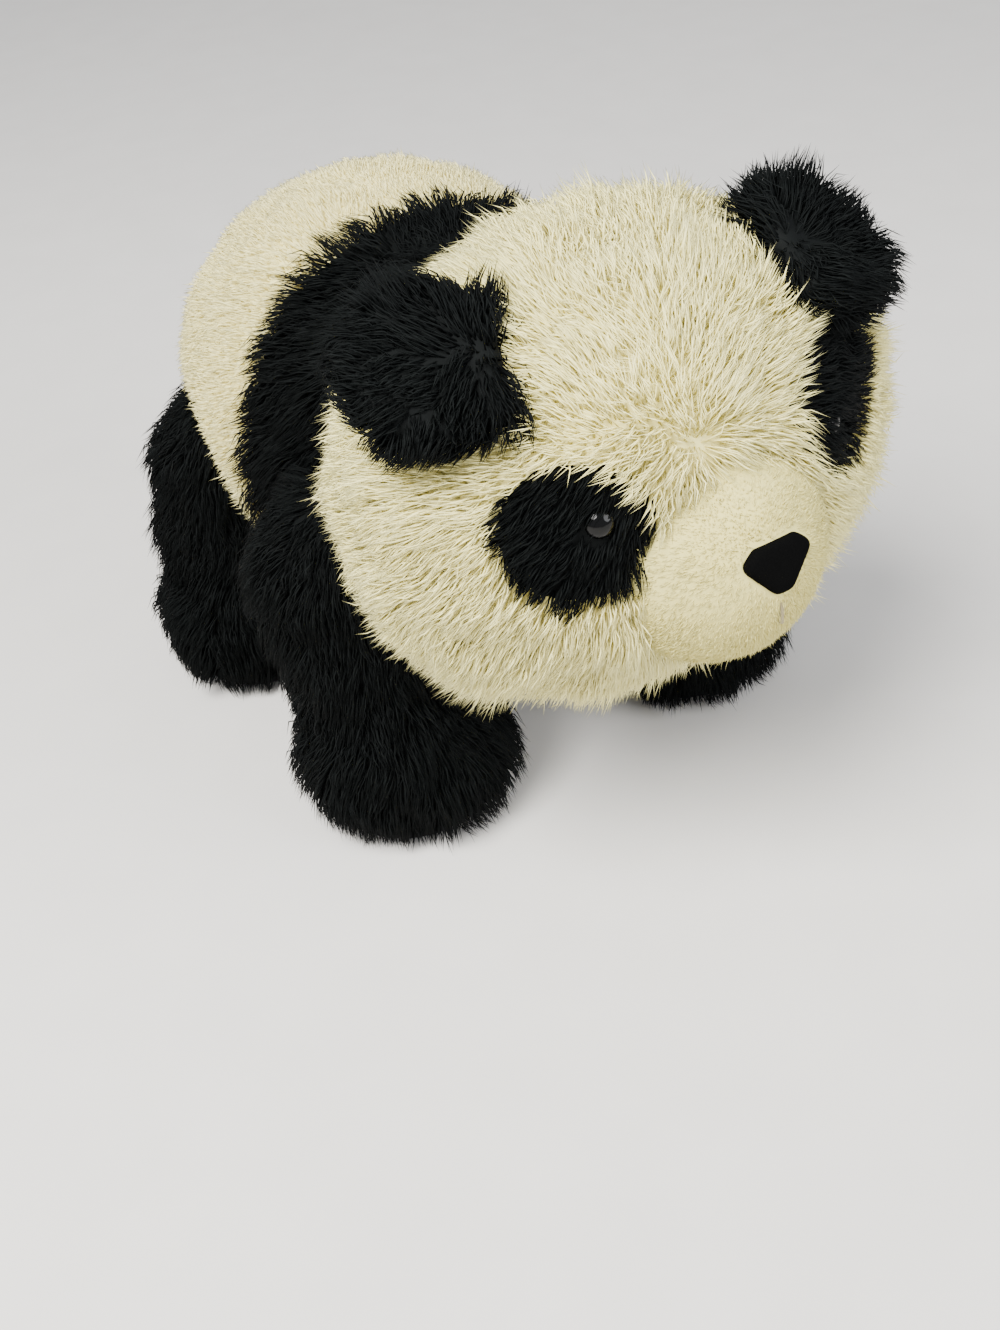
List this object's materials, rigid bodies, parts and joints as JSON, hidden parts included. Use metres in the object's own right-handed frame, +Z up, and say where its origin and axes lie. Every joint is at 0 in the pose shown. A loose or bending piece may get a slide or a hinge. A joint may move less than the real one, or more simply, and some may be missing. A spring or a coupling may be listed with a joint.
{
  "type": "plush panda",
  "caption": "Stuffed plush panda standing on its legs, with a large turning head, folding ears and legs that swing a little.",
  "frame": {"origin": "on the surface it stands on, under the middle of its box", "axes": "+Z up, face towards -Y, its own left at +X"},
  "size_m": [0.198, 0.31, 0.2072],
  "materials": {
    "cream_long_pile": "long brushed pile plush",
    "cream_short_pile": "dense short pile plush",
    "black_long_pile": "long brushed pile plush",
    "muzzle_pile": "velboa, very short pile",
    "nose_velvet": "black velvet",
    "sole_fabric": "smooth black short pile",
    "eye_plastic": "polished black",
    "washer_plastic": "moulded",
    "thread": "stitched thread",
    "stuffing": "polyester fibre fill"
  },
  "bodies": {
    "torso": {"back_panel_left": "cream_short_pile", "back_panel_right": "cream_short_pile", "shoulder_panel_left": "black_long_pile", "shoulder_panel_right": "black_long_pile", "belly_panel": "cream_short_pile", "chest_panel": "black_long_pile", "torso_stuffing": "stuffing", "tail": "cream_short_pile"},
    "neck": {"neck_sleeve": "black_long_pile", "neck_stuffing": "stuffing"},
    "head": {"crown_panel_left": "cream_long_pile", "crown_panel_right": "cream_long_pile", "cheek_panel_left": "cream_long_pile", "cheek_panel_right": "cream_long_pile", "eye_patch_left": "black_long_pile", "eye_patch_right": "black_long_pile", "eye_left": "eye_plastic", "eye_right": "eye_plastic", "eye_washer_left": "washer_plastic", "eye_washer_right": "washer_plastic", "chin_panel": "cream_long_pile", "head_stuffing": "stuffing", "muzzle_top": "muzzle_pile", "muzzle_underside": "muzzle_pile", "muzzle_stuffing": "stuffing", "nose": "nose_velvet", "mouth_stitch": "thread"},
    "ear_left": {"ear_front_left": "black_long_pile", "ear_back_left": "black_long_pile"},
    "ear_right": {"ear_front_right": "black_long_pile", "ear_back_right": "black_long_pile"},
    "front_leg_left": {"front_leg_outer_panel_left": "black_long_pile", "front_leg_inner_panel_left": "black_long_pile", "front_leg_stuffing_left": "stuffing", "front_paw_sole_left": "sole_fabric"},
    "front_leg_right": {"front_leg_outer_panel_right": "black_long_pile", "front_leg_inner_panel_right": "black_long_pile", "front_leg_stuffing_right": "stuffing", "front_paw_sole_right": "sole_fabric"},
    "hind_leg_left": {"hind_leg_outer_panel_left": "black_long_pile", "hind_leg_inner_panel_left": "black_long_pile", "hind_leg_stuffing_left": "stuffing", "hind_paw_sole_left": "sole_fabric"},
    "hind_leg_right": {"hind_leg_outer_panel_right": "black_long_pile", "hind_leg_inner_panel_right": "black_long_pile", "hind_leg_stuffing_right": "stuffing", "hind_paw_sole_right": "sole_fabric"}
  },
  "joints": [
    {"name": "head_turn", "type": "hinge", "parent": "torso", "child": "neck", "pos_m": [0, -0.033, 0.118], "axis": [0, 0, 1], "range_deg": [-9, 9], "stiffness_Nm_per_rad": 0.6},
    {"name": "head_nod", "type": "hinge", "parent": "neck", "child": "head", "pos_m": [0, -0.033, 0.118], "axis": [1, 0, 0], "range_deg": [-12, 6], "stiffness_Nm_per_rad": 1.2},
    {"name": "ear_fold_left", "type": "hinge", "parent": "head", "child": "ear_left", "pos_m": [0.04063, -0.10315, 0.19442], "axis": [0, -0.8512, -0.5249], "range_deg": [-5, 45], "stiffness_Nm_per_rad": 0.02},
    {"name": "ear_fold_right", "type": "hinge", "parent": "head", "child": "ear_right", "pos_m": [-0.05113, -0.09773, 0.19177], "axis": [0.2992, 0.7658, 0.5692], "range_deg": [-12, 35], "stiffness_Nm_per_rad": 0.02},
    {"name": "front_leg_swing_left", "type": "hinge", "parent": "torso", "child": "front_leg_left", "pos_m": [0.058, -0.01, 0.085], "axis": [1, 0, 0], "range_deg": [-15, 15], "stiffness_Nm_per_rad": 1},
    {"name": "front_leg_swing_right", "type": "hinge", "parent": "torso", "child": "front_leg_right", "pos_m": [-0.058, -0.01, 0.085], "axis": [1, 0, 0], "range_deg": [-15, 15], "stiffness_Nm_per_rad": 1},
    {"name": "hind_leg_swing_left", "type": "hinge", "parent": "torso", "child": "hind_leg_left", "pos_m": [0.055, 0.085, 0.078], "axis": [1, 0, 0], "range_deg": [-15, 15], "stiffness_Nm_per_rad": 1},
    {"name": "hind_leg_swing_right", "type": "hinge", "parent": "torso", "child": "hind_leg_right", "pos_m": [-0.055, 0.085, 0.078], "axis": [1, 0, 0], "range_deg": [-15, 15], "stiffness_Nm_per_rad": 1}
  ]
}
